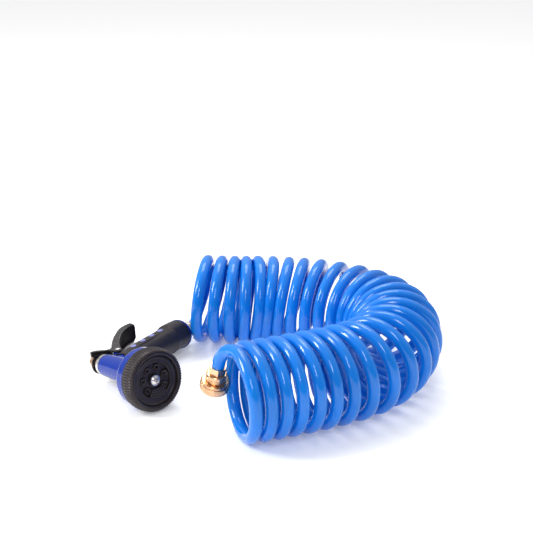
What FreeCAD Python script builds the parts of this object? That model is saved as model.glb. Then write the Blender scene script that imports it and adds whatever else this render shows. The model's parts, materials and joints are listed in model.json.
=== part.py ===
import FreeCAD, Part
import math
import os

# Hose-end spray nozzle with a self-coiling hose, lying on a flat surface. Millimetres, +Z up.
# The row's origin is the bottom centre of the nozzle's own box. The spray leaves towards -Y,
# the handle reaches towards +X and the trigger lies behind the handle, towards +Y.
#
# The nozzle is drawn in its own frame and then laid down: origin on the barrel axis at the front
# of the dial, +Y to the rear along the barrel, +X to the handle's side, and Z = 0 is the plane
# that the barrel, handle and lever share.

Vec = FreeCAD.Vector

# ---- driving dimensions -------------------------------------------------------------------------
RUN = 0.05                 # radial clearance of a running fit

# nozzle frame and how it lies
ORIGIN_X = 58.94            # bottom centre of the nozzle's box, measured from the dial's front
ORIGIN_Y = 91.69
LIE_TILT = 7.0             # the barrel points up by this much, because the dial is wider
LIE_HEIGHT = 35.09         # centre of the dial's front above the surface

# dial
DIAL_R = 34.2              # widest radius of the knurled rim
DIAL_WIDE_Y = 7.0          # where the rim is widest
DIAL_FRONT = -2.0          # the rim stands proud of the face
DIAL_DEPTH = 16.0
DIAL_RIBS = 72
FACE_R = 27.0              # face insert in the ring
FACE_BACK = 13.5
RECESS_R = 18.8
RECESS_FLOOR = 4.4
PLATEAU = 0.6
HUB_FRONT = 1.8            # the face's hub, which the screw's washer holds
PATTERN_R = 13.8           # pitch radius of the seven patterns
PATTERNS = 7
FIRST_PATTERN = 20.0       # angle of pattern 0 above the handle's side
SHOWER_PATTERN = 5
PORT_PATTERN = 3           # the pattern that stands in front of the water port
SPINDLE_R = 4.5
SCREW_R = 2.0
SCREW_HEAD_R = 3.5
WASHER_T = 0.8
DETENT_R = 22.0
BALL_R = 2.0

# barrel and bell
BELL_FRONT = 16.4
BELL_R = 31.4
BELL_REAR = 30.0
BARREL_FRONT_R = 14.6
BARREL_REAR_R = 12.1
BARREL_REAR = 93.0
CHAMBER_R = 8.5
CHAMBER_START = 47.0
SEAT_START = 42.0
SEAT_R = 5.5
PLATE_BACK = 24.0
CAVITY_R = 18.0
CAVITY_BACK = 31.0
PORT_R = 3.2

# valve
STEM_R = 3.0
STEM_END = 122.5
PLUG_R = 7.3
PLUG_LENGTH = 5.6
COLLAR_R = 6.4
COLLAR_T = 2.0
GLAND_START = 86.0
GLAND_FLANGE_R = 11.3
GLAND_FLANGE_START = 94.8
GLAND_END = 99.5
SPRING_R = 5.4
SPRING_WIRE_R = 0.65
SPRING_TURNS = 6
NUT_START = 112.35
NUT_LENGTH = 8.0
NUT_ACROSS_FLATS = 11.0

# lever
PIVOT_X = 20.5
PIVOT_Y = 101.0
PIN_R = 2.6
PIN_HEAD_R = 3.1
LEVER_HALF_WIDTH = 11.8
LEVER_WALL = 2.3
EYE_R = 5.2
LUG_HALF_WIDTH = 9.2
YOKE_FRONT = 105.0
YOKE_REAR = 112.0
YOKE_CROWN_R = 14.0        # the yoke rolls on the flow nut with this crowned face
YOKE_FRONT_R = 11.8        # round outline of the yoke about the stem, in front and at the rear
YOKE_REAR_R = 8.4
EAR_BOTTOM = 9.0           # the yoke's upper ear
EAR_TOP = 15.3
EAR_START = 16.0           # the upper cheek rises to the ear's top from here
SPOON_END = 101.8
SPOON_CORNER_R = 9.0       # rounding of the spoon's end

# handle, along its own axis from the barrel axis
HANDLE_ROOT_Y = 78.0
HANDLE_LEAN = 24.0         # it leans to the rear by this much
BOSS_R = 10.5
BOSS_END = 30.0
TUBE_R = 9.0
TUBE_BORE_R = 6.8
CUP_R = 15.4
CUP_BORE_R = 13.4
CUP_START = 114.0
CUP_FLOOR = 118.0
CUP_END = 138.0
GRIP_START = 15.0
GRIP_END = 135.0
COLLAR_END = 139.5
INLAYS = 4
INLAY_FIRST = 41.0
INLAY_PITCH = 19.0
GRIP_R = 12.6
GRIP_FLARE = 0.027         # growth of the slim part's radius along the handle
BULB_R = 17.3              # the grip's thick end, over the cup

# hose
HOSE_R = 6.7
COIL_R = 52.0              # outside radius of the coil
FERRULE_START = 144.0
FERRULE_END = 163.0
FERRULE_R = 8.5

# tap-end coupling, along its own axis from the hose's end
FERRULE_CORNER_R = 9.0
FERRULE_LENGTH = 9.0
NECK_R = 10.6
NECK_END = 18.6
NUT_TOP = 18.9
NUT_INNER_FACE = 21.5
NUT_OPEN_END = 31.0
NUT_BODY_R = 15.1
NUT_THREAD_R = 13.4        # inside of the 3/4 inch garden hose thread
NUT_THREAD_START = 25.6    # the thread runs from here to the open end
NUT_SEAT_R = 13.7          # the seat behind the thread, where the washer lies

# The route of the coil's axis, from the nozzle's end to the tap's end.
COIL_ROUTE = [
    (166.5, 138.0, 52.0),
    (188.0, 112.0, 52.0),
    (228.0, 84.0, 52.0),
    (263.0, 38.0, 52.0),
    (280.0, -12.0, 52.0),
    (277.0, -59.0, 52.0),
    (249.0, -101.0, 52.0),
    (202.0, -133.0, 52.0),
    (157.0, -142.0, 52.0),
    (109.0, -136.0, 52.0),
    (60.0, -126.0, 52.0),
    (30.5, -116.0, 52.0),
]
# The hose's lead, from the ferrule on the nozzle round half a turn and up to the coil's first end.
LEAD_ROUTE = [
    (163.5, 149.7, 16.7),
    (180.0, 160.0, 17.6),
    (193.0, 168.0, 31.0),
    (197.5, 168.5, 51.0),
    (192.5, 160.0, 73.0),
    (182.5, 147.5, 89.0),
    (170.5, 136.5, 95.5),
]
# The hose's tail, from the top of the last turn to the coupling.
TAIL_ROUTE = [
    (29.9, -118.0, 95.8),
    (24.5, -108.5, 96.5),
    (19.8, -98.8, 94.0),
    (18.0, -90.2, 86.6),
    (18.4, -85.3, 78.6),
    (19.1, -82.6, 72.5),
]
TAIL_AXIS = (0.11, 0.40, -0.91)


# ---- drawing helpers ----------------------------------------------------------------------------
def outline(points):
    """Closed face in the XY plane: (x, y) is a straight side, (mx, my, x, y) an arc through m."""
    edges = []
    here = Vec(points[0][0], points[0][1], 0)
    for item in points[1:] + [points[0]]:
        end = Vec(item[-2], item[-1], 0)
        if len(item) == 4:
            edges.append(Part.Arc(here, Vec(item[0], item[1], 0), end).toShape())
        elif here.distanceToPoint(end) > 1e-6:
            edges.append(Part.LineSegment(here, end).toShape())
        here = end
    return Part.Face(Part.Wire(edges))


def turned(points):
    """Solid of revolution about the Y axis; points are (radius, y)."""
    return outline(points).revolve(Vec(0, 0, 0), Vec(0, 1, 0), 360)


def slab(points, z_low, z_high):
    """Outline in the XY plane, made solid between two heights."""
    face = outline(points)
    face.translate(Vec(0, 0, z_low))
    return face.extrude(Vec(0, 0, z_high - z_low))


def rod(radius, start, end):
    """Cylinder between two points."""
    way = Vec(*end) - Vec(*start)
    return Part.makeCylinder(radius, way.Length, Vec(*start), way)


def tube(outer, inner, y_start, y_end):
    """Ring about the Y axis."""
    return turned([(inner, y_start), (outer, y_start), (outer, y_end), (inner, y_end)])


def torus_y(major, minor, x, y, z):
    return Part.makeTorus(major, minor, Vec(x, y, z), Vec(0, 1, 0))


def around_y(shape, angle):
    """Copy turned about the barrel axis."""
    copy = shape.copy()
    copy.rotate(Vec(0, 0, 0), Vec(0, 1, 0), angle)
    return copy


def along_handle(shape):
    """From a Y axis that starts on the barrel axis to the handle's axis."""
    copy = shape.copy()
    copy.rotate(Vec(0, 0, 0), Vec(0, 0, 1), HANDLE_LEAN - 90.0)
    copy.translate(Vec(0, HANDLE_ROOT_Y, 0))
    return copy


def coil_spring(radius, wire_r, turns, y_start, y_end):
    """Round wire on a helix about the Y axis."""
    height = y_end - y_start - 2 * wire_r
    helix = Part.makeHelix(height / turns, height, radius)
    section = Part.Wire(Part.makeCircle(wire_r, Vec(radius, 0, 0), Vec(0, 1, 0)))
    spring = Part.Wire(helix.Edges).makePipeShell([section], True, True)
    spring.rotate(Vec(0, 0, 0), Vec(1, 0, 0), -90)
    spring.translate(Vec(0, y_start + wire_r, 0))
    return spring


def laid(shape):
    """From the nozzle's frame to the row's frame: tilt, lift and move to the origin."""
    copy = shape.copy()
    copy.rotate(Vec(0, 0, 0), Vec(1, 0, 0), -LIE_TILT)
    copy.translate(Vec(-ORIGIN_X, -ORIGIN_Y, LIE_HEIGHT))
    return copy


def laid_point(x, y, z=0.0):
    """A point of the nozzle's frame in the row's frame."""
    return laid(Part.Vertex(x, y, z)).Point


def handle_point(distance):
    """A point on the handle's axis in the nozzle's frame."""
    lean = math.radians(HANDLE_LEAN)
    return (distance * math.cos(lean), HANDLE_ROOT_Y + distance * math.sin(lean))


# ---- dial ---------------------------------------------------------------------------------------
def dial_ring():
    ring = turned([
        (FACE_R, -0.4), (27.6, -1.5), (28.6, DIAL_FRONT), (30.6, DIAL_FRONT),
        (32.5, -1.2, 33.2, 1.0), (DIAL_R, DIAL_WIDE_Y, 33.0, 15.2), (32.4, DIAL_DEPTH), (FACE_R, DIAL_DEPTH),
    ])
    groove_r = 1.1
    groove = Part.makeCylinder(groove_r, 22.0, Vec(DIAL_R + groove_r / 2, -4.0, 0), Vec(0, 1, 0))
    grooves = [around_y(groove, k * 360.0 / DIAL_RIBS) for k in range(DIAL_RIBS)]
    return ring.cut(Part.makeCompound(grooves))


def pattern_place(number):
    """Turn about the barrel axis that brings the handle's side to one of the seven patterns."""
    return -FIRST_PATTERN - number * 360.0 / PATTERNS


def dial_face():
    face = turned([
        (SPINDLE_R + RUN, HUB_FRONT), (6.2, HUB_FRONT), (6.8, RECESS_FLOOR), (RECESS_R, RECESS_FLOOR),
        (RECESS_R, PLATEAU), (26.2, PLATEAU), (FACE_R - 0.05, 1.4), (FACE_R - 0.05, FACE_BACK),
        (SPINDLE_R + RUN, FACE_BACK),
    ])
    shower = shower_block()
    face = face.fuse(shower)
    boss = turned([(0.0, RECESS_FLOOR + 1.0), (4.2, RECESS_FLOOR + 1.0), (3.4, RECESS_FLOOR - 1.9),
                   (0.0, RECESS_FLOOR - 1.9)])
    boss.translate(Vec(PATTERN_R, 0, 0))
    for number in range(PATTERNS):
        if number != SHOWER_PATTERN:
            face = face.fuse(around_y(boss, pattern_place(number)))
    track = torus_y(DETENT_R, BALL_R + 0.3, 0, FACE_BACK + 0.7, 0)
    return face.cut(track).cut(pattern_holes()).removeSplitter()


def shower_block():
    """The raised sector of the face that carries the shower's small holes."""
    half = 36.0
    inner_r = 9.0
    block = tube(RECESS_R + 0.5, inner_r, PLATEAU, RECESS_FLOOR + 1.0)
    far = 60.0
    reach = far * math.tan(math.radians(half))
    wedge = Part.Face(Part.makePolygon([Vec(0, 0, 0), Vec(far, 0, -reach), Vec(far, 0, reach), Vec(0, 0, 0)]))
    wedge = wedge.extrude(Vec(0, RECESS_FLOOR + 2.0, 0))
    return block.common(around_y(wedge, pattern_place(SHOWER_PATTERN)))


def pattern_holes():
    """Cutters for every pattern: jet, cone, flat, fan, centre, mist and shower."""
    depth = FACE_BACK + 4.0

    def bore(radius, x, z):
        return Part.makeCylinder(radius, depth, Vec(x, -2.0, z), Vec(0, 1, 0))

    def slot(length, width, turn):
        box = Part.makeBox(length, depth, width, Vec(-length / 2, -2.0, -width / 2))
        box.rotate(Vec(0, 0, 0), Vec(0, 1, 0), turn)
        box.translate(Vec(PATTERN_R, 0, 0))
        return box

    shapes = {
        0: [bore(1.0, PATTERN_R, 0.0)],
        1: [bore(1.5, PATTERN_R, 0.0)],
        2: [slot(3.8, 1.4, 60.0)],
        3: [slot(4.2, 1.1, 20.0)],
        4: [slot(5.0, 0.9, 90.0), slot(5.0, 0.9, 0.0)],
        6: [bore(0.8, PATTERN_R - 1.4, 0.0), bore(0.8, PATTERN_R + 1.4, 0.0)],
    }
    cutters = []
    for number, tools in shapes.items():
        cutters += [around_y(tool, pattern_place(number)) for tool in tools]
    for ring_r, count in ((11.6, 5), (14.2, 6), (16.8, 7)):
        for k in range(count):
            angle = pattern_place(SHOWER_PATTERN) + (k - (count - 1) / 2) * 52.0 / (count - 1)
            cutters.append(around_y(bore(0.55, ring_r, 0.0), angle))
    return Part.makeCompound(cutters)


def dial_washer():
    return tube(5.6, SCREW_R + RUN, HUB_FRONT - RUN - WASHER_T, HUB_FRONT - RUN)


def dial_screw():
    seat = HUB_FRONT - RUN - WASHER_T
    front = seat - 2.5
    screw = turned([(0.0, front), (2.4, front + 0.4, SCREW_HEAD_R, front + 1.6), (SCREW_HEAD_R, seat),
                    (SCREW_R, seat), (SCREW_R, 20.0), (0.0, 20.0)])
    blade = Part.makeBox(4.0, 2.2, 0.9, Vec(-2.0, front - 0.8, -0.45))
    return screw.cut(blade).cut(around_y(blade, 90.0))


def dial_spindle():
    return tube(SPINDLE_R, SCREW_R + RUN, HUB_FRONT - RUN, PLATE_BACK)


def dial_seal():
    return around_y(torus_y(4.4, 0.85, PATTERN_R, FACE_BACK + 0.9, 0), pattern_place(PORT_PATTERN))


def detent_ball():
    return Part.makeSphere(BALL_R, Vec(0, FACE_BACK + 0.7, DETENT_R))


def detent_spring():
    spring = coil_spring(1.3, 0.3, 3, FACE_BACK + 0.7 + BALL_R + 0.05, 22.0)
    spring.translate(Vec(0, 0, DETENT_R))
    return spring


# ---- barrel -------------------------------------------------------------------------------------
def lever_lug(near_x, near_y):
    """The lug that carries the lever's pin, from a corner inside the barrel."""
    return slab([
        (near_x, near_y), (near_x, 92.0), (12.8, 92.4), (15.4, PIVOT_Y),
        (PIVOT_X, PIVOT_Y + 5.1, 25.6, PIVOT_Y), (28.0, 94.0), (22.0, 84.0), (16.0, near_y),
    ], -LUG_HALF_WIDTH, LUG_HALF_WIDTH)


def barrel_housing():
    body = turned([
        (0.0, 14.2), (FACE_R - 0.5, 14.2), (FACE_R - 0.5, BELL_FRONT), (BELL_R + 0.4, BELL_FRONT),
        (BELL_R, 24.0), (30.9, 27.5), (30.2, 29.7, 28.0, BELL_REAR), (22.0, 31.5),
        (17.0, 34.0, BARREL_FRONT_R, 40.0), (BARREL_REAR_R, BARREL_REAR), (0.0, BARREL_REAR),
    ])
    boss = along_handle(rod(BOSS_R, (0, 0, 0), (0, BOSS_END, 0)))
    body = body.fuse([boss, lever_lug(4.0, 80.0)])
    port = [rod(PORT_R, (PATTERN_R, 10.0, 0), (PATTERN_R, PLATE_BACK + 1.0, 0)),
            torus_y(4.4, 0.95, PATTERN_R, FACE_BACK + 0.9, 0)]
    cavities = [around_y(cutter, pattern_place(PORT_PATTERN)) for cutter in port]
    cavities += [
        tube(CAVITY_R, 0.0, PLATE_BACK, CAVITY_BACK),
        tube(SEAT_R, 0.0, CAVITY_BACK - 1.0, SEAT_START + 6.0),
        tube(CHAMBER_R, 0.0, CHAMBER_START, BARREL_REAR + 1.0),
        rod(SPINDLE_R, (0, 10.0, 0), (0, PLATE_BACK + 1.0, 0)),
        rod(BALL_R + 0.1, (0, 10.0, DETENT_R), (0, 22.0, DETENT_R)),
        rod(PIN_R, (PIVOT_X, PIVOT_Y, -20.0), (PIVOT_X, PIVOT_Y, 20.0)),
        along_handle(rod(TUBE_BORE_R, (0, 4.0, 0), (0, BOSS_END + 1.0, 0))),
        along_handle(rod(TUBE_R, (0, 18.0, 0), (0, BOSS_END + 12.0, 0))),
    ]
    for cavity in cavities:
        body = body.cut(cavity)
    return body.removeSplitter()


def gland_gasket():
    return tube(11.2, CHAMBER_R, BARREL_REAR, GLAND_FLANGE_START)


def gland_nut():
    return turned([
        (STEM_R + RUN, GLAND_START), (CHAMBER_R - 0.02, GLAND_START), (CHAMBER_R - 0.02, GLAND_FLANGE_START),
        (GLAND_FLANGE_R, GLAND_FLANGE_START), (GLAND_FLANGE_R, GLAND_END - 0.6),
        (GLAND_FLANGE_R - 0.6, GLAND_END), (STEM_R + RUN, GLAND_END),
        (STEM_R + RUN, 93.0), (4.9, 93.0), (4.9, 89.0), (STEM_R + RUN, 89.0),
    ])


def stem_seals():
    rings = [torus_y(STEM_R + RUN + 0.9, 0.88, 0, y, 0) for y in (90.0, 92.0)]
    return Part.makeCompound(rings)


def plug_front():
    """The plug's cone closes on the seat's edge."""
    return CHAMBER_START - 0.5


def valve_stem():
    front = plug_front()
    back = front + PLUG_LENGTH
    return turned([
        (0.0, front), (2.0, front), (2.0, back), (COLLAR_R, back), (COLLAR_R, back + COLLAR_T),
        (STEM_R, back + COLLAR_T), (STEM_R, STEM_END - 0.6), (STEM_R - 0.6, STEM_END), (0.0, STEM_END),
    ])


def valve_plug():
    front = plug_front()
    return turned([
        (2.0, front), (SEAT_R - 1.0, front), (PLUG_R, front + 1.6), (PLUG_R, front + PLUG_LENGTH),
        (2.0, front + PLUG_LENGTH),
    ])


def valve_spring():
    start = plug_front() + PLUG_LENGTH + COLLAR_T
    return coil_spring(SPRING_R, SPRING_WIRE_R, SPRING_TURNS, start + 0.02, GLAND_START - 0.02)


def flow_nut():
    corner_r = NUT_ACROSS_FLATS / 2 / math.cos(math.radians(30))
    corners = [Vec(corner_r * math.cos(math.radians(60 * k)), NUT_START,
                   corner_r * math.sin(math.radians(60 * k))) for k in range(7)]
    nut = Part.Face(Part.makePolygon(corners)).extrude(Vec(0, NUT_LENGTH, 0))
    end = NUT_START + NUT_LENGTH
    round_off = turned([(0.0, NUT_START), (5.6, NUT_START), (6.3, NUT_START + 0.7), (6.3, end - 1.4),
                        (5.0, end), (0.0, end)])
    bore = rod(STEM_R + RUN, (0, NUT_START - 1.0, 0), (0, end + 1.0, 0))
    return nut.common(round_off).cut(bore)


# ---- lever --------------------------------------------------------------------------------------
def lever_profile():
    """Side view of the lever."""
    crown_x = 9.0
    crown_drop = YOKE_CROWN_R - math.sqrt(YOKE_CROWN_R ** 2 - crown_x ** 2)
    return [
        (-10.6, YOKE_FRONT), (-10.6, YOKE_REAR - crown_drop), (-crown_x, YOKE_REAR - crown_drop),
        (0.0, YOKE_REAR, crown_x, YOKE_REAR - crown_drop + 0.4),
        (20.0, 113.5), (40.0, 141.5, 62.0, 166.5), (78.0, 181.0, 98.0, 189.3), (101.2, 186.5),
        (81.5, 175.6, 65.0, 160.5), (48.0, 139.5, 31.5, 113.5),
        (PIVOT_X + EYE_R, PIVOT_Y),
        (PIVOT_X, PIVOT_Y - EYE_R, PIVOT_X - EYE_R, PIVOT_Y), (12.5, YOKE_FRONT),
    ]


def spoon(half_width, end, corner_r):
    """The lever's outline seen from behind: straight edges and a round end."""
    start = -40.0
    flat = end - corner_r
    side = half_width - corner_r
    arm = Part.makeBox(flat - start, 150.0, 2 * half_width, Vec(start, 80.0, -half_width))
    tip = Part.makeBox(end - start, 150.0, 2 * side, Vec(start, 80.0, -side))
    corners = [Part.makeCylinder(corner_r, 150.0, Vec(flat, 80.0, z), Vec(0, 1, 0)) for z in (-side, side)]
    return arm.fuse([tip] + corners)


def across(points):
    """A solid whose outline in X and Z is the given polygon, right across the lever's depth."""
    corners = [Vec(x, 80.0, z) for x, z in points]
    return Part.Face(Part.makePolygon(corners + corners[:1])).extrude(Vec(0, 150.0, 0))


def raised_ear():
    """The upper cheek's rise from the pin to the yoke, with the hollow in the ear's front."""
    rise = across([(-11.0, EAR_BOTTOM), (-11.0, EAR_TOP), (EAR_START, LEVER_HALF_WIDTH), (EAR_START, EAR_BOTTOM)])
    hollow = across([(-9.2, 10.3), (-9.2, 13.8), (3.0, 12.3), (3.0, 10.3)])
    depth = Part.makeBox(20.0, 10.0, 10.0, Vec(-12.0, YOKE_FRONT - 7.8, EAR_BOTTOM))
    profile = slab(lever_profile(), 0.0, EAR_TOP)
    return profile.common(rise), hollow.common(depth)


def yoke_trim():
    """What is taken off the yoke below its ear: it is round about the stem."""
    reach = 14.0
    block = Part.makeBox(reach + 4.0, 20.0, reach + EAR_BOTTOM, Vec(-reach, YOKE_FRONT - 2.0, -reach))
    depth = YOKE_REAR - YOKE_FRONT
    front = Part.makeCylinder(YOKE_FRONT_R, 3.0, Vec(0, YOKE_FRONT - 2.0, 0), Vec(0, 1, 0))
    cone = Part.makeCone(YOKE_FRONT_R, YOKE_REAR_R, depth, Vec(0, YOKE_FRONT + 1.0, 0), Vec(0, 1, 0))
    return block.cut(front.fuse(cone))


def trigger_lever():
    rise, ear_hollow = raised_ear()
    body = slab(lever_profile(), -LEVER_HALF_WIDTH, LEVER_HALF_WIDTH)
    body = body.common(spoon(LEVER_HALF_WIDTH, SPOON_END, SPOON_CORNER_R)).fuse(rise)
    body = body.cut(yoke_trim()).cut(ear_hollow)
    inside = LEVER_HALF_WIDTH - LEVER_WALL
    hollow = slab([
        (13.0, 94.0), (13.0, 107.6), (19.5, 110.6), (41.5, 140.0, 63.0, 163.8),
        (79.0, 178.4, 97.0, 186.7), (104.0, 183.0), (104.0, 150.0), (60.0, 94.0),
    ], -inside, inside)
    hollow = hollow.common(spoon(inside, SPOON_END - LEVER_WALL, SPOON_CORNER_R - LEVER_WALL))
    slot = slab([(-7.5, 100.0), (4.0, 100.0), (4.0, 125.0), (-7.5, 125.0)], -STEM_R - 0.5, STEM_R + 0.5)
    eye = rod(PIN_R + RUN, (PIVOT_X, PIVOT_Y, -20.0), (PIVOT_X, PIVOT_Y, 20.0))
    return body.cut(hollow).cut(slot).cut(eye).removeSplitter()


def lever_pin():
    end = LEVER_HALF_WIDTH + 0.2
    pin = rod(PIN_R, (PIVOT_X, PIVOT_Y, -end), (PIVOT_X, PIVOT_Y, end))
    heads = [rod(PIN_HEAD_R, (PIVOT_X, PIVOT_Y, side * end), (PIVOT_X, PIVOT_Y, side * (end + 1.0)))
             for side in (-1, 1)]
    return pin.fuse(heads)


# ---- handle -------------------------------------------------------------------------------------
def handle_tube():
    return along_handle(turned([
        (TUBE_BORE_R, 18.0), (TUBE_R, 18.0), (TUBE_R, CUP_START), (CUP_R, CUP_START), (CUP_R, CUP_END),
        (CUP_BORE_R, CUP_END), (CUP_BORE_R, CUP_FLOOR), (TUBE_BORE_R, CUP_FLOOR),
    ]))


def inlay_blanks(depth):
    """The oval inlays on both flat sides of the grip."""
    blanks = []
    for k in range(INLAYS):
        distance = INLAY_FIRST + k * INLAY_PITCH
        surface = grip_radius(distance)
        for side in (-1, 1):
            low, high = sorted((side * (surface - depth), side * (surface + 0.5)))
            blank = slab([(-3.0, distance - 2.4), (0.0, distance - 4.6, 3.0, distance - 2.4),
                          (3.0, distance + 2.4), (0.0, distance + 4.6, -3.0, distance + 2.4)], low, high)
            blanks.append(blank)
    return blanks


def grip_radius(distance):
    """Radius of the grip's slim part, which thickens slowly towards the bulb."""
    return GRIP_R + max(distance - 42.0, 0.0) * GRIP_FLARE


def grip_solid():
    return turned([
        (BOSS_R, GRIP_START), (GRIP_R, GRIP_START), (GRIP_R, 42.0), (grip_radius(109.5), 109.5),
        (15.7, 109.9, 16.6, 111.2), (17.1, 112.4, BULB_R, 114.0), (BULB_R, 131.5),
        (17.2, 133.6, 16.8, GRIP_END), (CUP_R, GRIP_END), (CUP_R, CUP_START),
        (TUBE_R, CUP_START), (TUBE_R, BOSS_END), (BOSS_R, BOSS_END),
    ])


def grip_sleeve():
    grip = grip_solid().cut(Part.makeCompound(inlay_blanks(1.4)))
    grip = along_handle(grip)
    clear_r = BARREL_REAR_R + 0.2
    barrel = turned([(0.0, 30.0), (BARREL_FRONT_R + 0.2, 40.0), (clear_r, BARREL_REAR), (clear_r, GLAND_END + 1.0),
                     (0.0, GLAND_END + 1.0)])
    eye_room = rod(EYE_R + 0.5, (PIVOT_X, PIVOT_Y, -20.0), (PIVOT_X, PIVOT_Y, 20.0))
    return grip.cut(barrel).cut(lever_lug(-4.0, 70.0)).cut(eye_room)


def grip_inlays():
    solid = grip_solid()
    pieces = [along_handle(blank.common(solid)) for blank in inlay_blanks(1.4)]
    return Part.makeCompound([piece.Solids[0] for piece in pieces])


def grip_collar():
    return along_handle(turned([
        (CUP_R, GRIP_END), (16.4, GRIP_END), (16.4, 137.6), (16.1, 139.0, 15.2, COLLAR_END),
        (CUP_BORE_R, COLLAR_END), (CUP_BORE_R, CUP_END), (CUP_R, CUP_END),
    ]))


def inlet_washer():
    return along_handle(tube(CUP_BORE_R - 0.1, 6.0, CUP_FLOOR, CUP_FLOOR + 3.0))


def inlet_connector():
    bore = 3.6
    thread_r = CUP_BORE_R - 0.05
    return along_handle(turned([
        (bore, CUP_FLOOR + 3.0), (thread_r, CUP_FLOOR + 3.0), (thread_r, COLLAR_END - 1.0),
        (11.8, COLLAR_END), (11.8, FERRULE_START), (4.7, FERRULE_START), (4.7, FERRULE_END - 1.0),
        (bore, FERRULE_END - 1.0),
    ]))


def inlet_ferrule():
    return along_handle(turned([
        (4.8, FERRULE_START), (FERRULE_R, FERRULE_START), (FERRULE_R, FERRULE_END - 3.0),
        (FERRULE_R - 0.7, FERRULE_END), (4.8, FERRULE_END),
    ]))


# ---- hose ---------------------------------------------------------------------------------------
def moved_route(points):
    return [Vec(x - ORIGIN_X, y - ORIGIN_Y, z) for x, y, z in points]


def smooth_wire(name, points):
    """Straight runs joined by tangent arcs, each as large as its two runs allow."""
    arc_share = 0.45
    edges = []
    radii = []
    here = points[0]
    for before, corner, after in zip(points, points[1:], points[2:]):
        way_in = corner - before
        way_out = after - corner
        turn = way_in.getAngle(way_out)
        cut = arc_share * min(way_in.Length, way_out.Length)
        radii.append(cut / math.tan(turn / 2))
        way_in.normalize()
        way_out.normalize()
        start = corner - way_in * cut
        end = corner + way_out * cut
        bisector = way_out - way_in
        bisector.normalize()
        centre = corner + bisector * (radii[-1] / math.cos(turn / 2))
        middle = centre - bisector * radii[-1]
        edges.append(Part.LineSegment(here, start).toShape())
        edges.append(Part.Arc(start, middle, end).toShape())
        here = end
    edges.append(Part.LineSegment(here, points[-1]).toShape())
    print(name, "bend radii", [round(r) for r in radii])
    return Part.Wire(edges)


def cord_tube(name, points, radius):
    """Round solid along a smooth wire; prints how its volume compares with section times length."""
    wire = smooth_wire(name, points)
    first = points[1] - points[0]
    section = Part.Wire(Part.makeCircle(radius, points[0], first))
    solid = wire.makePipeShell([section], True, False)
    expected = math.pi * radius ** 2 * wire.Length
    print(name, "length", round(wire.Length, 1), "volume ratio", round(solid.Volume / expected, 4))
    return solid


def hose_lead():
    start = laid_point(*handle_point(FERRULE_END))
    return cord_tube("hose_lead", [start] + moved_route(LEAD_ROUTE), HOSE_R)


def hose_coil():
    return cord_tube("hose_coil", moved_route(COIL_ROUTE), COIL_R)


def hose_tail():
    return cord_tube("hose_tail", moved_route(TAIL_ROUTE), HOSE_R)


# ---- tap-end coupling ---------------------------------------------------------------------------
def on_tail(shape):
    """From a Y axis that starts at the hose's end to the tail's axis."""
    way = Vec(*TAIL_AXIS)
    way.normalize()
    copy = shape.copy()
    copy.Placement = FreeCAD.Placement(moved_route([TAIL_ROUTE[-1]])[0], FreeCAD.Rotation(Vec(0, 1, 0), way))
    return copy


def tail_ferrule():
    corners = [Vec(FERRULE_CORNER_R * math.cos(math.radians(60 * k)), 0,
                   FERRULE_CORNER_R * math.sin(math.radians(60 * k))) for k in range(7)]
    block = Part.Face(Part.makePolygon(corners)).extrude(Vec(0, FERRULE_LENGTH, 0))
    round_off = turned([(4.8, 0.0), (8.0, 0.0), (FERRULE_CORNER_R, 0.8), (FERRULE_CORNER_R, FERRULE_LENGTH - 0.8),
                        (8.0, FERRULE_LENGTH), (4.8, FERRULE_LENGTH)])
    return on_tail(block.common(round_off))


def tail_stem():
    bore = 3.6
    journal_r = 8.0
    flange_r = 11.6
    return on_tail(turned([
        (bore, 1.0), (4.7, 1.0), (4.7, FERRULE_LENGTH), (9.8, FERRULE_LENGTH), (NECK_R, FERRULE_LENGTH + 0.8),
        (NECK_R, NECK_END), (journal_r, NECK_END), (journal_r, NUT_INNER_FACE + RUN),
        (flange_r, NUT_INNER_FACE + RUN), (flange_r, 22.9), (bore, 22.9),
    ]))


def swivel_nut():
    journal_r = 8.0
    return on_tail(turned([
        (journal_r + RUN, NUT_TOP), (13.8, NUT_TOP), (14.4, NUT_TOP + 0.6), (14.4, 21.2), (14.0, 21.4), (14.0, 22.2),
        (NUT_BODY_R, 22.6), (NUT_BODY_R, NUT_OPEN_END - 1.0), (14.3, NUT_OPEN_END), (NUT_THREAD_R, NUT_OPEN_END),
        (NUT_THREAD_R, NUT_THREAD_START), (NUT_SEAT_R, NUT_THREAD_START), (NUT_SEAT_R, NUT_INNER_FACE),
        (journal_r + RUN, NUT_INNER_FACE),
    ]))


def nut_washer():
    return on_tail(tube(NUT_SEAT_R - 0.2, 5.0, 22.95, 25.1))


# ---- write every node ---------------------------------------------------------------------------
NOZZLE_NODES = [
    dial_ring, dial_face, dial_washer, dial_screw, dial_spindle, dial_seal, detent_ball, detent_spring,
    barrel_housing, gland_gasket, gland_nut, stem_seals, valve_stem, valve_plug, valve_spring, flow_nut,
    trigger_lever, lever_pin, handle_tube, grip_sleeve, grip_inlays, grip_collar, inlet_washer,
    inlet_connector, inlet_ferrule,
]
HOSE_NODES = [hose_lead, hose_coil, hose_tail, tail_ferrule, tail_stem, swivel_nut, nut_washer]


def write_all():
    os.makedirs("parts", exist_ok=True)
    box = FreeCAD.BoundBox()
    for make in NOZZLE_NODES:
        shape = laid(make())
        shape.exportStep("parts/" + make.__name__ + ".step")
        box.add(shape.optimalBoundingBox(False))
        print(make.__name__, "solids", len(shape.Solids), "valid", shape.isValid(), "volume", round(shape.Volume))
    for make in HOSE_NODES:
        shape = make()
        shape.exportStep("parts/" + make.__name__ + ".step")
        print(make.__name__, "solids", len(shape.Solids), "valid", shape.isValid(), "volume", round(shape.Volume))
    print("nozzle box", box)
    print("hose starts at", laid_point(*handle_point(FERRULE_END)))


write_all()
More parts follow.
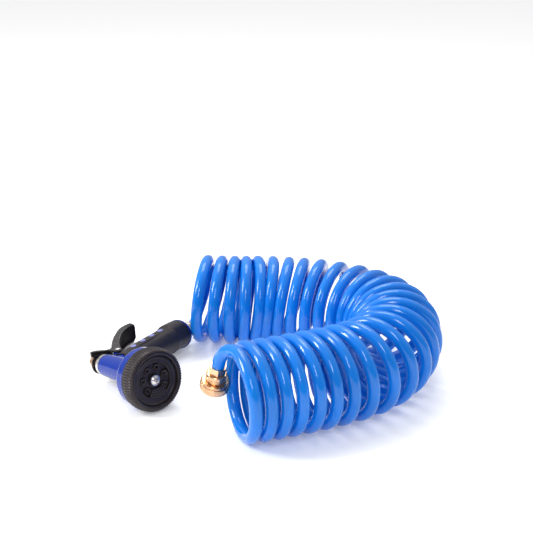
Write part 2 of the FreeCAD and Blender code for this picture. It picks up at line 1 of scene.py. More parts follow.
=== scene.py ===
import json
import math
import bpy
import bmesh
import numpy as np
from mathutils import Matrix, Vector


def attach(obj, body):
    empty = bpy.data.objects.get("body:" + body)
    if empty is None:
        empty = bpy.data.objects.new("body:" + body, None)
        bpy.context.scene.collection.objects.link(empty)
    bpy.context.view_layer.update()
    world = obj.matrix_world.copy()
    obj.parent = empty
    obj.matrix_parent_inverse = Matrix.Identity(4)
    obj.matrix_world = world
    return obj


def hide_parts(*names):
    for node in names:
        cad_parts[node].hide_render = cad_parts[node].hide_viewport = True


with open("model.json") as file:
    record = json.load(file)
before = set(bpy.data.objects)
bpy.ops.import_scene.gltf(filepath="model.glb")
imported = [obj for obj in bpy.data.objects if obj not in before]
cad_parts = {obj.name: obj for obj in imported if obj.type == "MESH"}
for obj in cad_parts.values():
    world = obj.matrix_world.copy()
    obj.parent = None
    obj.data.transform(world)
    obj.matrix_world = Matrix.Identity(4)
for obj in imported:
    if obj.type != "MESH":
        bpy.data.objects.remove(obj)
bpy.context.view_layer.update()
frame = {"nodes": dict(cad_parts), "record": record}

# Lengths are in mm in the layout, the nozzle's, the handle's and the coupling's own frames, and
# each of those frames has a matrix that places it in the row's frame, in metres.
MM = 0.001
ORIGIN = Vector((58.94, 91.69, 0.0))     # the row's origin in the layout
LIE_TILT = math.radians(7.0)
LIE_HEIGHT = 35.09
HANDLE_ROOT_Y = 78.0
HANDLE_LEAN = math.radians(24.0)
HANDLE_END = 163.0                       # where the hose leaves the crimped ferrule
LEVER_PIN = (20.5, 101.0)
COUPLING_START = (19.1, -82.6, 72.5)     # where the hose goes into the coupling
COUPLING_AXIS = Vector((0.11, 0.40, -0.91)).normalized()

LAYOUT = Matrix.Scale(MM, 4) @ Matrix.Translation(-ORIGIN)
NOZZLE = LAYOUT @ Matrix.Translation((0, 0, LIE_HEIGHT)) @ Matrix.Rotation(-LIE_TILT, 4, "X")
HANDLE = (NOZZLE @ Matrix.Translation((0, HANDLE_ROOT_Y, 0))
          @ Matrix.Rotation(HANDLE_LEAN - math.pi / 2, 4, "Z"))
COUPLING = (LAYOUT @ Matrix.Translation(COUPLING_START)
            @ Vector((0, 1, 0)).rotation_difference(COUPLING_AXIS).to_matrix().to_4x4())


def row(x, y, z):
    """A point of the layout, in mm, as a point of the row's frame in metres."""
    return LAYOUT @ Vector((x, y, z))


# ---------------------------------------------------------------- camera
cam_data = bpy.data.cameras.new("camera")
cam_data.lens = 103.5
cam_data.sensor_width = 36.0
cam_data.clip_end = 20.0
camera = bpy.data.objects.new("camera", cam_data)
camera.location = row(-845.8, -1220.7, 640.2)
camera.rotation_euler = (math.radians(90 - 17.97), 0.0, math.radians(-39.16))
bpy.context.scene.collection.objects.link(camera)
bpy.context.scene.camera = camera
bpy.context.scene.view_settings.view_transform = "Standard"

# ---------------------------------------------------------------- hose
HOSE_D = 0.0134                          # in metres
# The coil's axis, pitch and lean are rounded from a fit of a helix to the turns in the photo.
COIL_AXIS = [(158, 148), (188, 112), (228, 84), (263, 38), (280, -12), (277, -59),
             (249, -101), (202, -133), (157, -142), (109, -136), (60, -126), (13, -110)]
COIL_Z = 52.0
COIL_R = 45.3
# turn number and the pitch there, in mm; turn number and how far the turns lean forward, in degrees
PITCH = [(0.5, 19.5), (2, 17.3), (4, 13.5), (6, 15.5), (8, 19.0), (10, 24.3),
         (16, 24.2), (20, 21.9), (23, 18.0), (25.5, 15.4), (28.5, 16.4)]
LEAN = [(0.5, 10.1), (3.5, 6.2), (4.5, 6.5), (7, 11.0), (10, 6.8), (13, 2.5), (15, 2.2),
        (17.5, 3.8), (20, 2.7), (22.5, 0.0), (24.5, -1.7), (26.5, -0.1), (28.5, 1.9)]
FIRST_TURN, LAST_TURN = 0.62, 27.87
POINTS_PER_TURN = 24
AXIS_REACH = 3.0                         # how far ahead and behind the axis's way is taken, in mm


def nurbs_line(name, points):
    """An open NURBS curve object with these control points, in metres."""
    data = bpy.data.curves.new(name, "CURVE")
    data.dimensions = "3D"
    data.resolution_u = 12
    spline = data.splines.new("NURBS")
    spline.points.add(len(points) - 1)
    for point, place in zip(spline.points, points):
        point.co = (*place, 1.0)
    spline.order_u = 3
    spline.use_endpoint_u = True
    curve = bpy.data.objects.new(name, data)
    bpy.context.scene.collection.objects.link(curve)
    return curve


def line_points(curve):
    """The points that a curve's own line passes through."""
    mesh = bpy.data.meshes.new_from_object(curve)
    return np.array([v.co[:] for v in mesh.vertices])


def helix_points(first_turn, last_turn):
    """Control points of the coil's turns, about the coil's axis."""
    axis = nurbs_line("coil_axis", [row(x, y, COIL_Z) for x, y in COIL_AXIS])
    line = line_points(axis) / MM
    bpy.data.objects.remove(axis)
    along = np.concatenate([[0.0], np.cumsum(np.linalg.norm(np.diff(line, axis=0), axis=1))])
    count = round((last_turn - first_turn) * POINTS_PER_TURN)
    fine = np.linspace(PITCH[0][0], PITCH[-1][0], 2801)
    pitch = np.interp(fine, *zip(*PITCH))
    travelled = np.concatenate([[0.0], np.cumsum((pitch[1:] + pitch[:-1]) / 2 * np.diff(fine))])
    control_r = COIL_R / math.cos(math.pi / POINTS_PER_TURN)
    points = []
    for k in range(count + 1):
        turn = first_turn + k / POINTS_PER_TURN
        s = np.interp(turn, fine, travelled)
        centre = Vector([np.interp(s, along, line[:, i]) for i in range(3)])
        ahead = Vector([np.interp(s + AXIS_REACH, along, line[:, i]) for i in range(3)])
        behind = Vector([np.interp(s - AXIS_REACH, along, line[:, i]) for i in range(3)])
        forward = (ahead - behind).normalized()
        side = Vector((forward.y, -forward.x, 0.0))
        lean = math.radians(np.interp(turn, *zip(*LEAN)))
        up = Vector((0, 0, 1)) * math.cos(lean) + forward * math.sin(lean)
        angle = 2 * math.pi * turn
        points.append((centre + (up * math.cos(angle) + side * math.sin(angle)) * control_r) * MM)
    return points


EXIT = HANDLE @ Vector((0, HANDLE_END, 0))
LEAD = [EXIT, row(157.0, 147.6, 18.2), row(167.0, 156.5, 18.2)]
TAIL = [row(16.5, -121.0, 96.5), row(19.5, -107.0, 96.0), row(18.6, -95.5, 92.5),
        row(18.0, -88.0, 84.0), row(18.2, -84.6, 77.5), row(*COUPLING_START)]
hose = nurbs_line("hose", LEAD + helix_points(FIRST_TURN, LAST_TURN) + TAIL)
for point in hose.data.splines[0].points:
    point.radius = HOSE_D / 2
hose.data.resolution_u = 3
hose.data.bevel_depth = 1.0
hose.data.bevel_resolution = 7
hose.data.use_fill_caps = True
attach(hose, "nozzle")
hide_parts("hose_lead", "hose_coil", "hose_tail")


# ---------------------------------------------------------------- materials
def material(name, base, rough, metallic=0.0, vary=0.12, vary_scale=40.0, rough_vary=0.08,
             bump=0.1, bump_scale=900.0, bump_depth=0.0001, wear=0.0, stretch=(1, 1, 1),
             specular=0.5, coat=0.0, tint=(1.0, 1.0, 1.0)):
    """A procedural finish: blotches of colour, uneven gloss, fine relief and paler edges."""
    made = bpy.data.materials.new(name)
    made.use_nodes = True
    nodes, links = made.node_tree.nodes, made.node_tree.links
    shader = nodes["Principled BSDF"]
    shader.inputs["Metallic"].default_value = metallic
    shader.inputs["Specular IOR Level"].default_value = specular
    shader.inputs["Specular Tint"].default_value = (*tint, 1.0)
    shader.inputs["Coat Weight"].default_value = coat
    shader.inputs["Coat Roughness"].default_value = 0.06
    place = nodes.new("ShaderNodeTexCoord")
    scaled = nodes.new("ShaderNodeMapping")
    scaled.inputs["Scale"].default_value = stretch
    links.new(place.outputs["Object"], scaled.inputs["Vector"])

    def noise(scale, detail):
        texture = nodes.new("ShaderNodeTexNoise")
        texture.inputs["Scale"].default_value = scale
        texture.inputs["Detail"].default_value = detail
        links.new(scaled.outputs["Vector"], texture.inputs["Vector"])
        return texture.outputs["Fac"]

    def ramp(value, low, high, dark, light):
        made_ramp = nodes.new("ShaderNodeValToRGB")
        made_ramp.color_ramp.elements[0].position = low
        made_ramp.color_ramp.elements[0].color = (*dark, 1.0)
        made_ramp.color_ramp.elements[1].position = high
        made_ramp.color_ramp.elements[1].color = (*light, 1.0)
        links.new(value, made_ramp.inputs["Fac"])
        return made_ramp.outputs["Color"]

    darker = tuple(c * (1 - vary) for c in base)
    lighter = tuple(min(c * (1 + vary), 1.0) for c in base)
    colour = ramp(noise(vary_scale, 4.0), 0.35, 0.65, darker, lighter)
    if wear:
        geometry = nodes.new("ShaderNodeNewGeometry")
        edge = ramp(geometry.outputs["Pointiness"], 0.52, 0.62, (0, 0, 0), (wear, wear, wear))
        worn = nodes.new("ShaderNodeMixRGB")
        worn.blend_type = "SCREEN"
        worn.inputs["Fac"].default_value = 1.0
        links.new(colour, worn.inputs["Color1"])
        links.new(edge, worn.inputs["Color2"])
        colour = worn.outputs["Color"]
    links.new(colour, shader.inputs["Base Color"])
    gloss = ramp(noise(vary_scale * 2.3, 5.0), 0.3, 0.7, (rough - rough_vary,) * 3,
                 (rough + rough_vary,) * 3)
    links.new(gloss, shader.inputs["Roughness"])
    relief = nodes.new("ShaderNodeBump")
    relief.inputs["Strength"].default_value = bump
    relief.inputs["Distance"].default_value = bump_depth
    links.new(noise(bump_scale, 3.0), relief.inputs["Height"])
    links.new(relief.outputs["Normal"], shader.inputs["Normal"])
    return made


WARM = (1.0, 0.86, 0.89)
FINISH = {
    "hose_blue": material(
        "hose_blue", (0.003, 0.185, 0.70), 0.16, vary=0.07, vary_scale=25.0, rough_vary=0.03,
        bump=0.05, bump_scale=500.0, specular=0.4, coat=0.12),
    "shell_blue": material(
        "shell_blue", (0.003, 0.030, 0.29), 0.15, vary=0.06, rough_vary=0.04,
        bump=0.06, bump_scale=700.0, specular=0.3, coat=0.1),
    "black_plastic": material(
        "black_plastic", (0.0105, 0.008, 0.0095), 0.34, vary=0.15, rough_vary=0.07,
        bump=0.25, bump_scale=2200.0, wear=0.015, specular=0.4, tint=WARM),
    "grip_rubber": material(
        "grip_rubber", (0.0115, 0.009, 0.0105), 0.42, vary=0.18, rough_vary=0.07,
        bump=0.35, bump_scale=2600.0, wear=0.01, specular=0.4, tint=WARM),
    "inlay_blue": material(
        "inlay_blue", (0.23, 0.24, 0.60), 0.38, vary=0.08, rough_vary=0.05, bump=0.12),
    "ferrule_cream": material(
        "ferrule_cream", (0.74, 0.68, 0.54), 0.3, metallic=0.7, vary=0.06, bump=0.1),
    "brass": material(
        "brass", (0.80, 0.49, 0.28), 0.27, metallic=1.0, vary=0.12, vary_scale=120.0,
        rough_vary=0.08, bump=0.18, bump_scale=1500.0, wear=0.06),
    "steel": material(
        "steel", (0.62, 0.60, 0.59), 0.28, metallic=1.0, vary=0.08, rough_vary=0.08, bump=0.1),
    "seal_rubber": material(
        "seal_rubber", (0.014, 0.013, 0.014), 0.55, vary=0.15, bump=0.3),
}
# Painted shade for the lever's hollow: a darker black with almost no reflection, standing in for
# the shade inside the deep cavity
HOLLOW_PAINTED_SHADE = material("hollow_painted_shade", (0.006, 0.005, 0.006), 0.6, vary=0.2, bump=0.3,
                        bump_scale=2200.0, specular=0.06)
hose.data.materials.append(FINISH["hose_blue"])
for part in frame["record"]["subparts"]:
    node = frame["nodes"][part["node"]]
    node.data.materials.clear()
    node.data.materials.append(FINISH[part["material_slot"]])


# ---------------------------------------------------------------- mesh tools
def rounded(corners):
    """The line through corners (radius, y, fillet), with each corner eased by its fillet."""
    points = [np.array(c[:2], float) for c in corners]
    line = [points[0]]
    for before, corner, after, spec in zip(points, points[1:], points[2:], corners[1:]):
        fillet = spec[2] if len(spec) > 2 else 0.0
        if not fillet:
            line.append(corner)
            continue
        way_in, way_out = before - corner, after - corner
        start = corner + way_in * min(fillet / np.linalg.norm(way_in), 0.48)
        end = corner + way_out * min(fillet / np.linalg.norm(way_out), 0.48)
        for t in np.linspace(0, 1, 7):
            line.append(start * (1 - t) ** 2 + corner * 2 * t * (1 - t) + end * t ** 2)
    line.append(points[-1])
    return np.array(line)


def refined(line, step):
    """The same line with no stretch longer than step."""
    out = [line[0]]
    for a, b in zip(line, line[1:]):
        parts = max(1, math.ceil(np.linalg.norm(b - a) / step))
        out += [a + (b - a) * k / parts for k in range(1, parts + 1)]
    return np.array(out)


def skin(name, grids, place, slot, body, nodes=(), sharp=40.0, loop=True):
    """A piece from grids of points, closed across each row, and from last row to first if loop."""
    mesh = bmesh.new()
    for grid in grids:
        rows, columns = grid.shape[:2]
        index = np.arange(rows * columns).reshape(rows, columns)
        verts = [mesh.verts.new(place @ Vector(p)) for p in grid.reshape(-1, 3)]
        here = index if loop else index[:-1]
        there = np.roll(index, -1, axis=0) if loop else index[1:]
        for a, b, c, d in zip(here.ravel(), np.roll(here, -1, axis=1).ravel(),
                              np.roll(there, -1, axis=1).ravel(), there.ravel()):
            mesh.faces.new((verts[a], verts[b], verts[c], verts[d]))
    bmesh.ops.remove_doubles(mesh, verts=mesh.verts, dist=2e-6)
    bmesh.ops.dissolve_degenerate(mesh, edges=mesh.edges, dist=1e-6)
    bmesh.ops.recalc_face_normals(mesh, faces=mesh.faces)
    data = bpy.data.meshes.new(name)
    mesh.to_mesh(data)
    mesh.free()
    data.shade_smooth()
    data.set_sharp_from_angle(angle=math.radians(sharp))
    return piece(name, data, slot, body, nodes)


def piece(name, data, slot, body, nodes=()):
    """Link a mesh as a piece that rides on a body and stands for the given nodes."""
    made = bpy.data.objects.new(name, data)
    bpy.context.scene.collection.objects.link(made)
    data.materials.append(FINISH[slot])
    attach(made, body)
    if nodes:
        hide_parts(*nodes)
    return made


def spun(line, segments, radius_at=None):
    """Grid of a line (radius, y) turned about Y; radius_at(radius, y, angle) may shape it."""
    angle = np.linspace(0, 2 * math.pi, segments, endpoint=False)[None, :]
    radius = np.repeat(line[:, :1], segments, axis=1)
    y = np.repeat(line[:, 1:2], segments, axis=1)
    if radius_at:
        radius = radius_at(radius, y, angle)
    return np.stack([radius * np.cos(angle), y, radius * np.sin(angle)], axis=-1)


def smoothstep(value, low, high):
    """0 below low, 1 above high, and an eased rise between them."""
    t = np.clip((value - low) / (high - low), 0, 1)
    return t * t * (3 - 2 * t)


def moulded(name, node, slot, body, voxel, smooths):
    """A copy of a CAD node with its edges softened as a moulding's are."""
    source = frame["nodes"][node]
    work = bpy.data.objects.new(name + "_work", source.data.copy())
    bpy.context.scene.collection.objects.link(work)
    remesh = work.modifiers.new("remesh", "REMESH")
    remesh.mode = "VOXEL"
    remesh.voxel_size = voxel * MM
    smooth = work.modifiers.new("smooth", "SMOOTH")
    smooth.factor = 0.5
    smooth.iterations = smooths
    depsgraph = bpy.context.evaluated_depsgraph_get()
    data = bpy.data.meshes.new_from_object(work.evaluated_get(depsgraph))
    bpy.data.objects.remove(work)
    data.materials.clear()
    data.shade_smooth()
    return piece(name, data, slot, body, (node,))


# ---------------------------------------------------------------- dial
DIAL_RIBS = 72
PATTERN_R = 13.8
FIRST_PATTERN = 20.0
PATTERN_STEP = 360.0 / 7
SHOWER = 5
SHOWER_HALF_ANGLE = 36
SHOWER_INNER_R = 9.2
SHOWER_SPREAD = 52.0                     # degrees from the first to the last hole of each ring
SCREW_R = 4.8


def dial_ring():
    """The rim, with ribs that run over its front edge."""
    rib_depth = 0.85
    line = refined(rounded([
        (27.0, -0.4), (27.6, -1.5, 0.5), (28.6, -2.0, 0.5), (30.5, -2.0, 0.8),
        (32.7, -1.0, 1.0), (33.5, 1.2, 1.2), (34.1, 5.0, 1.5), (34.2, 8.0, 1.5),
        (33.9, 11.5, 1.5), (33.3, 15.0, 0.6), (32.4, 16.0, 0.4), (27.0, 16.0),
    ]), 0.6)

    def ribbed(radius, y, angle):
        wave = 0.5 - 0.5 * np.cos(DIAL_RIBS * angle)
        reach = smoothstep(radius, 30.4, 32.2) * (1 - smoothstep(y, 14.2, 15.4))
        return radius - rib_depth * wave ** 0.7 * reach

    skin("dial_rim", [spun(line, DIAL_RIBS * 10, ribbed)], NOZZLE, "black_plastic", "dial",
         ("dial_ring",), 60.0)


def slot_hole(u, v, length, width, turn):
    """How far a point is outside a slot-shaped hole."""
    t = math.radians(turn)
    along, across = u * math.cos(t) + v * math.sin(t), v * math.cos(t) - u * math.sin(t)
    reach = np.maximum(np.abs(along) - (length - width) / 2, 0)
    return np.hypot(reach, across) - width / 2


def pattern_hole(number, u, v):
    """How far a point is outside the holes of one pattern."""
    if number == 0:
        return np.hypot(u, v) - 1.0
    if number == 1:
        return (np.abs(u) ** 3 + np.abs(v) ** 3) ** (1 / 3) - 1.35
    if number == 2:
        return slot_hole(u, v, 3.8, 1.3, 60.0)
    if number == 3:
        return slot_hole(u, v, 4.2, 1.1, 20.0)
    if number == 4:
        return np.minimum(slot_hole(u, v, 5.0, 0.9, 90.0), slot_hole(u, v, 5.0, 0.9, 0.0))
    return np.hypot(np.abs(u) - 1.4, v) - 0.8


def dial_face():
    """The face as a relief: a lip, a dished recess, the hub, six bosses and the shower's block."""
    radii = np.concatenate([np.linspace(4.6, 9.0, 23), np.linspace(9.15, 18.4, 72),
                            np.linspace(18.5, 26.95, 46)])
    angle = np.linspace(0, 2 * math.pi, 600, endpoint=False)[None, :]
    radius = radii[:, None] + 0 * angle
    x, z = radius * np.cos(angle), radius * np.sin(angle)
    relief = [(4.6, 1.8), (5.9, 1.8), (6.3, 2.2), (6.8, 4.4), (17.9, 4.4), (18.4, 4.0),
              (18.9, 1.7), (19.4, 1.25), (23.4, 0.85), (23.9, 0.3), (24.5, 0.3),
              (24.9, 0.75), (26.2, 0.75), (26.6, 1.0), (26.95, 1.7)]
    y = np.interp(radius, *zip(*relief))
    deep, far = 9.0, 9.0
    holes = np.full(y.shape, far)
    for number in range(7):
        turn = math.radians(FIRST_PATTERN + number * PATTERN_STEP)
        u = x * math.cos(turn) + z * math.sin(turn) - PATTERN_R
        v = z * math.cos(turn) - x * math.sin(turn)
        if number == SHOWER:
            off_axis = np.abs((np.degrees(angle - turn) + 180) % 360 - 180) * np.radians(1) * radius
            edge = np.maximum(off_axis - SHOWER_HALF_ANGLE * np.radians(1) * radius,
                              SHOWER_INNER_R - radius)
            block = 1.3 + 3.1 * smoothstep(edge, -0.6, 0.3)
            y = np.where(radius < 18.9, np.minimum(y, block), y)
            for ring_r, count in ((11.6, 5), (14.2, 6), (16.8, 7)):
                for k in range(count):
                    pin = turn + math.radians((k - (count - 1) / 2) * SHOWER_SPREAD / (count - 1))
                    holes = np.minimum(holes,
                                       np.hypot(x - ring_r * math.cos(pin),
                                                z - ring_r * math.sin(pin)) - 0.5)
        else:
            boss = np.interp(np.hypot(u, v), [0, 2.3, 2.8, 3.4, 3.9, 4.5],
                             [3.0, 2.8, 2.2, 2.25, 3.0, 4.4])
            y = np.minimum(y, boss)
            holes = np.minimum(holes, pattern_hole(number, u, v))
    y = y + (deep - y) * (1 - smoothstep(holes, -0.12, 0.14))
    front = np.stack([x, y, z], axis=-1)
    back = spun(np.array([(26.95, 13.4), (4.6, 13.4)]), 600)
    skin("dial_plate", [np.concatenate([front, back])], NOZZLE, "black_plastic", "dial",
         ("dial_face",), 50.0)


def dial_screw():
    """A domed cross-head screw."""
    seat, front = 0.95, -1.55
    radii = np.concatenate([np.linspace(0, 3.4, 35), np.linspace(3.5, SCREW_R, 12)])
    angle = np.linspace(0, 2 * math.pi, 144, endpoint=False)[None, :]
    radius = radii[:, None] + 0 * angle
    x, z = radius * np.cos(angle), radius * np.sin(angle)
    y = front + 1.9 * (radius / SCREW_R) ** 2.2
    cross = np.minimum(np.maximum(np.abs(x) - 0.48, np.abs(z) - 2.3),
                       np.maximum(np.abs(z) - 0.48, np.abs(x) - 2.3))
    y = y + 1.5 * (1 - smoothstep(cross, -0.15, 0.15))
    head = np.stack([x, y, z], axis=-1)
    shank = spun(np.array([(SCREW_R, seat), (2.0, seat), (2.0, 19.5), (1.5, 20.0),
                           (0.0, 20.0)]), 144)
    skin("dial_cross_screw", [np.concatenate([head, shank])], NOZZLE, "steel", "nozzle",
         ("dial_screw",), 35.0, False)


# ---------------------------------------------------------------- barrel
def barrel():
    """The bell and the barrel in one moulding, with the handle's boss."""
    line = refined(rounded([
        (0, 14.2), (26.4, 14.2), (26.4, 16.4), (31.9, 16.4, 0.5), (31.6, 20.5, 2.0),
        (31.2, 27.4, 2.2), (29.2, 29.9, 1.8), (22.5, 31.4, 3.5), (15.8, 33.6, 4.5),
        (14.5, 41.0, 4.0), (12.1, 92.6, 0.4), (11.7, 93.0), (0, 93.0),
    ]), 2.0)
    skin("barrel_shell", [spun(line, 160)], NOZZLE, "shell_blue", "nozzle", ("barrel_housing",),
         30.0, False)
    boss = rounded([(0, 4.0), (10.4, 4.0), (10.4, 29.9, 0.4), (0, 29.9)])
    skin("handle_boss", [spun(boss, 96)], HANDLE, "shell_blue", "nozzle", (), 35.0, False)


def pin_lug():
    """The lug between the lever's cheeks, round about the pin."""
    centre, radius, half_width = Vector(LEVER_PIN), 5.0, 9.1
    arc = [centre + Vector((math.cos(a), math.sin(a))) * radius
           for a in np.linspace(math.pi, 0, 17)]
    outline = [Vector((8.0, 82.0)), Vector((8.0, 91.5)), Vector((12.8, 92.4))] + arc + [
        Vector((27.8, 94.0)), Vector((22.0, 84.0))]
    middle = sum(outline, Vector((0, 0))) / len(outline)
    rows = []
    for inset, height in ((1.0, -half_width), (0.06, -half_width),
                          (0.02, -half_width + 0.15), (0.0, -half_width + 0.5),
                          (0.0, half_width - 0.5), (0.02, half_width - 0.15),
                          (0.06, half_width), (1.0, half_width)):
        rows.append([(*(p + (middle - p) * inset), height) for p in outline])
    skin("lever_lug", [np.array(rows)], NOZZLE, "shell_blue", "nozzle", (), 40.0, False)


def lever_pin():
    """The pin, with a domed head at each end."""
    place = NOZZLE @ Matrix.Translation((*LEVER_PIN, 0)) @ Matrix.Rotation(math.pi / 2, 4, "X")
    line = rounded([(0, -13.4), (2.0, -13.3, 0.8), (3.1, -12.7, 0.5), (3.1, -12.0, 0.1),
                    (2.6, -12.0), (2.6, 12.0), (3.1, 12.0, 0.1), (3.1, 12.7, 0.5),
                    (2.0, 13.3, 0.8), (0, 13.4)])
    skin("lever_rivet", [spun(line, 64)], place, "steel", "nozzle", ("lever_pin",), 40.0, False)


def lever():
    """The lever, whose hollow faces get painted shade: a darker black with almost no reflection."""
    made = moulded("lever", "trigger_lever", "black_plastic", "lever", 0.55, 7)
    made.data.materials.append(HOLLOW_PAINTED_SHADE)
    hollow_start, tip_start = 34.0, 92.0
    half_width, floor_half_width = 10.2, 9.2
    back = NOZZLE.inverted()
    turn = back.to_3x3().normalized()
    for face in made.data.polygons:
        place, normal = back @ face.center, turn @ face.normal
        if place.x < hollow_start or abs(place.z) > half_width:
            continue
        floor_side = (normal.x * 0.72 - normal.y * 0.69 > 0.25
                      and abs(place.z) < floor_half_width)
        cheek_side = normal.z * place.z < -0.35 * abs(place.z)
        end_side = place.x > tip_start and normal.x < -0.4 and normal.y < 0.3
        if floor_side or cheek_side or end_side:
            # these hollow faces get the painted shade
            face.material_index = 1


# ---------------------------------------------------------------- handle
GRIP_R = 12.6
GRIP_FLARE = 0.027
FLARE_START, FLARE_LENGTH = 42.0, 70
RIDGE_HEIGHT = 1.0
RIDGE_HALF_WIDTH = 5.0
BULB_R = 17.4
BULB_FLAT = 1.4                          # how much flatter the bulb is underneath
ROOT_HALF_HEIGHT = 9.3                   # of the grip's root where it lies between the cheeks
INLAY_FIRST = 41.0
INLAY_PITCH = 19.0


def slim_r(distance):
    """The grip's radius between its root and its bulb, without the ridge."""
    return GRIP_R + np.clip(distance - FLARE_START, 0, FLARE_LENGTH) * GRIP_FLARE


def ridge(distance):
    """Height of the stripe that carries the inlays."""
    return RIDGE_HEIGHT * smoothstep(distance, 28, 50) * (1 - smoothstep(distance, 108, 112))


def grip_radius(radius, y, angle):
    """The grip's outside: slim, striped above and below, and a bulb that swells sooner in front."""
    outer = (radius > 12.0) & (y > 15.5) & (y < 134.9)
    across = np.abs(np.cos(angle)) * radius
    stripe = ridge(y) * (1 - smoothstep(across, RIDGE_HALF_WIDTH - 0.7, RIDGE_HALF_WIDTH + 0.5))
    swell = np.clip(np.cos(angle), 0, 1) ** 0.8 * smoothstep(y, 62, 116) * (BULB_R - 14.4)
    shaped = np.minimum(radius + np.maximum(stripe, swell), np.maximum(radius, BULB_R))
    shaped = shaped - BULB_FLAT * np.clip(-np.sin(angle), 0, 1) * smoothstep(y, 106, 116)
    rear_limit = ROOT_HALF_HEIGHT / np.maximum(np.abs(np.sin(angle)), 0.05)
    near_lever = (y < 33.0) & (np.cos(angle) < -0.1)
    shaped = np.where(near_lever, np.minimum(shaped, rear_limit), shaped)
    return np.where(outer, shaped, radius)


def grip():
    """The rubber sleeve, from the handle's boss to its open cup."""
    outer = refined(rounded([
        (10.6, 15.2), (12.4, 15.2, 0.8), (12.6, 17.0, 0.6), (12.6, 42.0, 4.0),
        (14.42, 109.2, 0.8), (16.4, 110.6, 1.2), (17.3, 113.6, 1.8), (BULB_R, 120.0, 2.0),
        (17.3, 131.0, 2.0), (16.9, 134.8, 0.8),
    ]), 1.0)
    inner = np.array([(15.5, 134.9), (15.5, 114.2), (9.1, 114.2), (9.1, 30.2), (10.6, 30.2)])
    skin("grip", [spun(np.concatenate([outer, inner]), 192, grip_radius)], HANDLE,
         "grip_rubber", "nozzle", ("grip_sleeve",), 50.0)


def inlays():
    """Domed ovals set in both stripes."""
    half_length, half_width, crown = 4.6, 3.0, 0.45
    grids = []
    for k in range(4):
        distance = INLAY_FIRST + k * INLAY_PITCH
        surface = float(slim_r(np.array(distance)) + ridge(np.array(distance)))
        for side in (-1, 1):
            rows = []
            for share, rise in ((0.0, crown), (0.3, crown * 0.96), (0.6, crown * 0.8),
                                (0.8, crown * 0.55), (0.93, crown * 0.25), (1.0, -0.15),
                                (1.0, -1.3), (0.0, -1.3)):
                angle = np.linspace(0, 2 * math.pi, 48, endpoint=False)
                across = half_width * share * np.cos(angle)
                along = distance + half_length * share * np.sin(angle)
                height = np.sqrt(surface ** 2 - across ** 2) + rise
                rows.append(np.stack([across, along, side * height], axis=-1))
            grids.append(np.array(rows))
    skin("inlays", grids, HANDLE, "inlay_blue", "nozzle", ("grip_inlays",), 50.0, False)


def handle_end():
    """The blue collar and the crimped ferrule that holds the hose."""
    collar = rounded([(15.5, 135.05), (17.1, 135.05, 0.3), (17.2, 138.4, 1.0),
                      (15.4, 139.5, 0.8), (13.4, 139.5), (13.4, 138.05), (15.5, 138.05)])
    skin("handle_collar", [spun(collar, 128)], HANDLE, "shell_blue", "nozzle", ("grip_collar",),
         40.0)
    line = [(4.8, 144.0), (8.0, 144.0, 0.3), (8.5, 144.8, 0.3)]
    for start in (147.0, 151.0, 155.0):
        line += [(8.5, start, 0.3), (7.9, start + 0.6, 0.3), (7.9, start + 1.6, 0.3),
                 (8.5, start + 2.2, 0.3)]
    line += [(8.5, 161.2, 0.5), (7.8, 162.8, 0.4), (6.9, HANDLE_END), (4.8, HANDLE_END)]
    skin("crimped_ferrule", [spun(rounded(line), 96)], HANDLE, "ferrule_cream", "nozzle",
         ("inlet_ferrule",), 50.0)


# ---------------------------------------------------------------- coupling
def coupling():
    """The neck and the knurled swivel nut with its thread."""
    neck = rounded([(3.6, 1.0), (4.7, 1.0), (4.7, 9.0), (9.6, 9.0, 0.2), (10.6, 9.9, 0.5),
                    (10.6, 13.2, 0.2), (10.2, 13.6, 0.2), (10.2, 14.2, 0.2), (10.6, 14.6, 0.2),
                    (10.6, 18.5, 0.2), (8.0, 18.55), (8.0, 21.6), (11.6, 21.6), (11.6, 22.9),
                    (3.6, 22.9)])
    collar = skin("coupling_neck", [spun(neck, 128)], COUPLING, "brass", "nozzle", ("tail_stem",),
                  40.0)
    knurls, knurl_depth = 90, 0.28
    pitch, root_r, crest_r = 2.2, 13.4, 12.75
    thread = []
    for k in range(2):
        start = 30.2 - k * pitch
        thread += [(root_r, start), (crest_r, start - 0.55), (crest_r, start - 0.85),
                   (root_r, start - 1.4)]
    outside = [(8.06, 18.95), (13.7, 18.95, 0.5), (14.4, 19.7, 0.4), (14.4, 21.1, 0.2),
               (14.0, 21.4, 0.1), (14.0, 22.2, 0.1), (15.1, 22.6, 0.4), (15.1, 30.0, 0.5),
               (14.3, 31.0, 0.3), (13.8, 31.0, 0.1)]
    seat = [(root_r, 25.6), (13.7, 25.6), (13.7, 21.5), (8.06, 21.5)]
    line = refined(rounded(outside + thread + seat), 0.8)

    def knurled(radius, y, angle):
        wave = 0.5 - 0.5 * np.cos(knurls * angle)
        ends = smoothstep(y, 22.9, 23.5) * (1 - smoothstep(y, 29.2, 29.8))
        return radius - knurl_depth * wave * smoothstep(radius, 14.85, 15.05) * ends

    nut = skin("coupling_nut", [spun(line, knurls * 6, knurled)], COUPLING, "brass", "swivel",
               ("swivel_nut",), 50.0)
    return [collar, nut, frame["nodes"]["tail_ferrule"], frame["nodes"]["nut_washer"]]


dial_ring()
dial_face()
dial_screw()
barrel()
pin_lug()
lever_pin()
lever()
grip()
inlays()
handle_end()
on_the_hose = coupling()

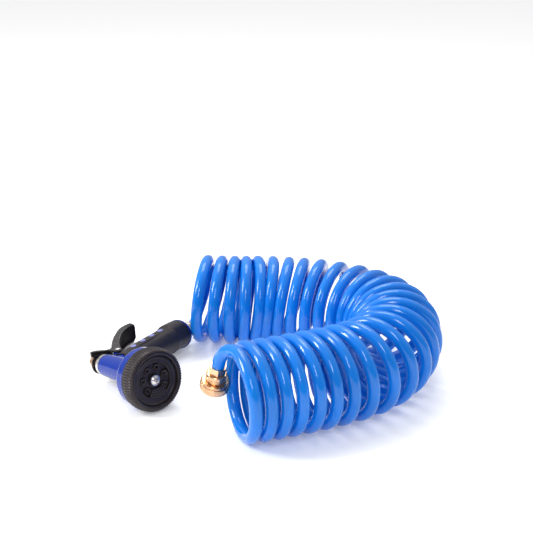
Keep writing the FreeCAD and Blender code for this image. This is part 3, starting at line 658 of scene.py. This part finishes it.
# ---------------------------------------------------------------- stage
floor_mesh = bpy.data.meshes.new("floor")
floor_mesh.from_pydata([(-8, -8, 0), (8, -8, 0), (8, 8, 0), (-8, 8, 0)], [], [(0, 1, 2, 3)])
floor = bpy.data.objects.new("floor", floor_mesh)
bpy.context.scene.collection.objects.link(floor)
floor_finish = bpy.data.materials.new("floor")
floor_finish.use_nodes = True
floor_inputs = floor_finish.node_tree.nodes["Principled BSDF"].inputs
floor_inputs["Base Color"].default_value = (0.93, 0.93, 0.93, 1)
floor_inputs["Roughness"].default_value = 0.8
floor_inputs["Emission Color"].default_value = (1, 1, 1, 1)
floor_inputs["Emission Strength"].default_value = 0.22
floor_mesh.materials.append(floor_finish)

world = bpy.data.worlds.new("world")
bpy.context.scene.world = world
world.use_nodes = True
world_nodes, world_links = world.node_tree.nodes, world.node_tree.links
sky = world_nodes["Background"]
sky.inputs["Strength"].default_value = 1.0
direction = world_nodes.new("ShaderNodeTexCoord")
split = world_nodes.new("ShaderNodeSeparateXYZ")
shade = world_nodes.new("ShaderNodeValToRGB")
shade.color_ramp.elements[0].position = 0.0
shade.color_ramp.elements[0].color = (0.36, 0.36, 0.37, 1)
shade.color_ramp.elements[1].position = 0.9
shade.color_ramp.elements[1].color = (1.12, 1.12, 1.12, 1)
world_links.new(direction.outputs["Generated"], split.inputs["Vector"])
world_links.new(split.outputs["Z"], shade.inputs["Fac"])
facing = world_nodes.new("ShaderNodeVectorMath")
facing.operation = "DOT_PRODUCT"
# the dark side of the studio, behind the camera
facing.inputs[1].default_value = (-0.60, -0.74, 0.31)
world_links.new(direction.outputs["Generated"], facing.inputs[0])
dim = world_nodes.new("ShaderNodeMapRange")
dim.inputs["From Min"].default_value = 0.0
dim.inputs["From Max"].default_value = 0.85
dim.inputs["To Min"].default_value = 1.0
dim.inputs["To Max"].default_value = 0.3
world_links.new(facing.outputs["Value"], dim.inputs["Value"])
dimmed = world_nodes.new("ShaderNodeVectorMath")
dimmed.operation = "SCALE"
world_links.new(shade.outputs["Color"], dimmed.inputs[0])
world_links.new(dim.outputs["Result"], dimmed.inputs["Scale"])
world_links.new(dimmed.outputs["Vector"], sky.inputs["Color"])


def area_light(name, azimuth, elevation, distance, width, height, power):
    """A soft box facing the object, at an azimuth clockwise from +Y and an elevation in degrees."""
    aim = Vector((0.1, -0.03, 0.05))
    a, e = math.radians(azimuth), math.radians(elevation)
    data = bpy.data.lights.new(name, "AREA")
    data.shape = "RECTANGLE"
    data.size = width
    data.size_y = height
    data.energy = power
    light = bpy.data.objects.new(name, data)
    way = Vector((math.sin(a) * math.cos(e), math.cos(a) * math.cos(e), math.sin(e)))
    light.location = aim + way * distance
    light.rotation_euler = (aim - light.location).to_track_quat("-Z", "Y").to_euler()
    bpy.context.scene.collection.objects.link(light)


area_light("front_box", 222, 34, 1.9, 0.3, 0.8, 9)
area_light("left_box", 300, 34, 1.9, 0.4, 0.8, 22)
area_light("top_box", 40, 70, 1.8, 1.0, 1.0, 14)
